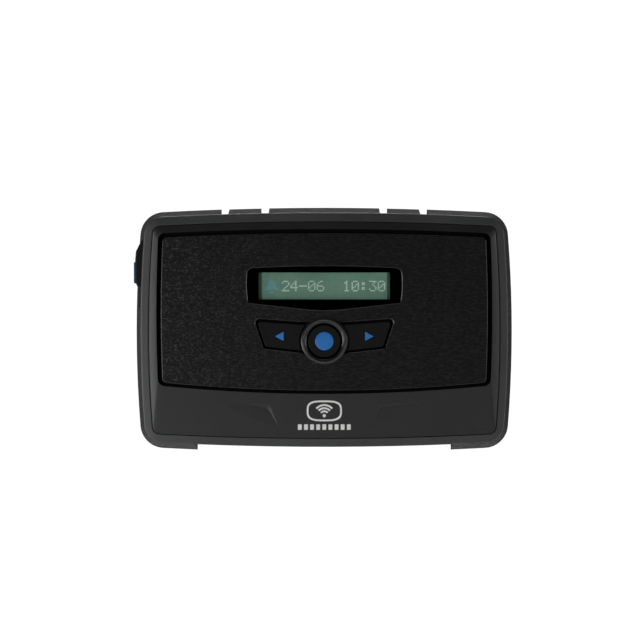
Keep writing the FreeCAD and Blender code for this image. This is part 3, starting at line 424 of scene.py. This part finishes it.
def build_display():
    """The display's lit field with darker ends, and a bell, a date and a time in dots."""
    low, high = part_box("lcd_glass")
    glass_y, mid_z = low.y, (low.z + high.z) / 2
    width, height = FIELD_SIZE
    bm = bmesh.new()
    plate(bm, rounded_box(0, mid_z, width, height, 0.5 * MM), glass_y, glass_y - PRINT_T)
    face = display_face("display_face", (0.128, 0.238, 0.182), 0.25)
    piece("display_field", to_mesh("display_field", bm), face, "base")

    bm = bmesh.new()
    for side, inner in FIELD_EDGES:
        x = side * (inner + FIELD_EDGE_W / 2)
        strip = rounded_box(x, mid_z, FIELD_EDGE_W, height, 0.2 * MM)
        plate(bm, strip, glass_y - PRINT_T, glass_y - 2 * PRINT_T)
    edge = display_face("display_edge", (0.030, 0.064, 0.048), 0.2)
    piece("display_edges", to_mesh("display_edges", bm), edge, "base")

    text_y = glass_y - PRINT_T
    top = mid_z + 3.5 * DOT_PITCH
    bm = bmesh.new()
    for i, char in enumerate(DISPLAY_TEXT):
        dots(bm, GLYPHS[char], TEXT_LEFT + i * CHARACTER_PITCH, top, text_y)
    pale = display_face("display_dots", (0.47, 0.60, 0.53), 0.3)
    piece("display_digits", to_mesh("display_digits", bm), pale, "base")

    bm = bmesh.new()
    dots(bm, BELL, TEXT_LEFT - BELL_OFFSET, top + DOT_PITCH, text_y, 9)
    teal = display_face("display_icon_ink", (0.11, 0.30, 0.32), 0.3)
    piece("display_icon", to_mesh("display_icon", bm), teal, "base")


# ---- printed emblem ----
BADGE_Z = -36.7 * MM
BADGE_OUTER = (7.9 * MM, 4.7 * MM)          # half width and half height
BADGE_INNER = (7.1 * MM, 3.9 * MM)
BADGE_POWER = 3.2                           # how square its corners are
WAVE_DROP = 2.2 * MM                        # from the badge's middle down to the waves' centre
WAVE_RADII = (2.0 * MM, 3.4 * MM, 4.8 * MM)
WAVE_ANGLES = (42, 138)                     # degrees, from the right
WAVE_HALF_W = 0.42 * MM
WAVE_DOT_R = 0.75 * MM
BAR_COUNT = 9
BAR_PITCH = 2.75 * MM
BAR_SIZE = (1.75 * MM, 2.5 * MM)
BAR_CORNER = 0.3 * MM
BAR_Z = -44.0 * MM
EMBLEM_LIFT = 0.004 * MM                    # clear of the fascia


def project_onto(mesh, node, lift):
    """Moves a flat mesh's points along Y onto a CAD node's front, keeping each point's own depth above it."""
    target = NODES[node].data
    tree = BVHTree.FromPolygons([v.co for v in target.vertices], [p.vertices for p in target.polygons])
    for v in mesh.vertices:
        hit, _, _, _ = tree.ray_cast(Vector((v.co.x, -1.0, v.co.z)), Vector((0, 1, 0)))
        v.co.y += hit.y - lift


def ring_points(x, z, rx, rz, power=2.0, steps=72):
    """A super-ellipse: power 2 is an ellipse, and higher values are squarer."""
    points = []
    for i in range(steps):
        a = 2 * math.pi * i / steps
        c, s = math.cos(a), math.sin(a)
        across = rx * math.copysign(abs(c) ** (2 / power), c)
        up = rz * math.copysign(abs(s) ** (2 / power), s)
        points.append((x + across, z + up))
    return points


def arc_band(x, z, r_in, r_out, start, end, steps=16):
    """A band along a circle between two angles in degrees."""

    def at(r, i):
        a = math.radians(start + (end - start) * i / steps)
        return (x + r * math.cos(a), z + r * math.sin(a))

    return [at(r_out, i) for i in range(steps + 1)] + [at(r_in, i) for i in range(steps, -1, -1)]


def build_emblem():
    """A neutral mark: a soft-cornered badge with signal waves, over a short row of bars."""
    bm = bmesh.new()
    hole = ring_points(0, BADGE_Z, *BADGE_INNER, BADGE_POWER)
    plate(bm, ring_points(0, BADGE_Z, *BADGE_OUTER, BADGE_POWER), 0, -PRINT_T, [hole])
    wave_z = BADGE_Z - WAVE_DROP
    plate(bm, ring_points(0, wave_z, WAVE_DOT_R, WAVE_DOT_R), 0, -PRINT_T)
    for radius in WAVE_RADII:
        band = arc_band(0, wave_z, radius - WAVE_HALF_W, radius + WAVE_HALF_W, *WAVE_ANGLES)
        plate(bm, band, 0, -PRINT_T)
    for i in range(BAR_COUNT):
        x = (i - (BAR_COUNT - 1) / 2) * BAR_PITCH
        plate(bm, rounded_box(x, BAR_Z, *BAR_SIZE, BAR_CORNER), 0, -PRINT_T)
    mesh = to_mesh("front_emblem", bm)
    project_onto(mesh, "fascia", EMBLEM_LIFT)
    ink = printed("emblem_ink", (0.86, 0.85, 0.84))
    piece("front_emblem", mesh, ink, "front_cover")


# ---- stage ----
def staged(name, mesh, material):
    obj = bpy.data.objects.new(name, mesh)
    bpy.context.scene.collection.objects.link(obj)
    mesh.materials.append(material)


def build_stage():
    """A pale floor below the unit."""
    low, _ = CAD_BOX
    corners = ((-1, -1), (1, -1), (1, 1), (-1, 1))
    points = [(x * FLOOR_HALF, y * FLOOR_HALF, low.z - FLOOR_DROP) for x, y in corners]
    mesh = bpy.data.meshes.new("floor")
    mesh.from_pydata(points, [], [(0, 1, 2, 3)])
    g = Graph("floor_paint")
    g.wire(Base_Color=g.blend(g.noise(2.0), (0.90, 0.90, 0.90), (0.94, 0.94, 0.94)))
    g.set(Roughness=0.8)
    staged("floor", mesh, g.material)


LIGHTS = (      # name, place, aim, size, power in watts, spread in degrees
    ("key", (-0.33, -0.27, -0.08), (0, 0, 0), (0.22, 0.24), 0.66, 180),
    ("fill", (0.60, -0.62, 0.02), (0, 0, 0), (0.40, 0.36), 0.68, 180),
    ("front", (-0.25, -1.75, -0.15), (0, 0, 0), (1.3, 0.22), 1.9, 180),
    ("left_edge", (-0.95, -0.12, 0.0), (0, 0, 0), (0.5, 0.5), 3.2, 180),
    ("right_edge", (0.95, -0.12, 0.0), (0, 0, 0), (0.5, 0.5), 2.5, 180),
    ("top_edge", (0.0, -0.10, 0.9), (0, 0, 0), (0.7, 0.3), 0.7, 180),
    ("back", (0.0, 0.75, 1.35), (0, 0, 0), (0.7, 0.5), 1.6, 60),
    ("overhead", (0.0, 0.62, 1.1), (0, 0.62, -1), (1.6, 0.55), 1.3, 30),
    ("floor_front", (0.0, -0.62, 1.1), (0, -0.62, -1), (1.6, 0.5), 0.35, 30),
)


def area_light(name, place, aim, size, power, spread):
    light = bpy.data.lights.new(name, "AREA")
    light.shape = "RECTANGLE"
    light.size, light.size_y = size
    light.energy = power
    light.spread = math.radians(spread)
    obj = bpy.data.objects.new(name, light)
    obj.location = place
    obj.rotation_euler = (Vector(aim) - Vector(place)).to_track_quat("-Z", "Y").to_euler()
    bpy.context.scene.collection.objects.link(obj)


def build_light():
    """Soft studio light, stronger from the left."""
    world = bpy.data.worlds.new("studio")
    bpy.context.scene.world = world
    world.use_nodes = True
    nodes, links = world.node_tree.nodes, world.node_tree.links
    background = nodes["Background"]
    background.inputs["Color"].default_value = (1.0, 1.0, 1.0, 1.0)
    path = nodes.new("ShaderNodeLightPath")
    strength = nodes.new("ShaderNodeMapRange")
    strength.inputs["To Min"].default_value = WORLD_GLOW
    strength.inputs["To Max"].default_value = WORLD_SEEN
    links.new(path.outputs["Is Camera Ray"], strength.inputs["Value"])
    links.new(strength.outputs["Result"], background.inputs["Strength"])
    bpy.context.scene.view_settings.view_transform = "Standard"
    for light in LIGHTS:
        area_light(*light)


def build_camera():
    data = bpy.data.cameras.new("camera")
    data.lens = CAMERA_LENS
    obj = bpy.data.objects.new("camera", data)
    low, _ = CAD_BOX
    x, z = CAMERA_SHIFT
    obj.location = (x, low.y - CAMERA_DISTANCE, z)
    obj.rotation_euler = (math.pi / 2, 0, 0)
    bpy.context.scene.collection.objects.link(obj)
    bpy.context.scene.camera = obj


finish_frame()
build_display()
build_emblem()
build_stage()
build_light()
build_camera()
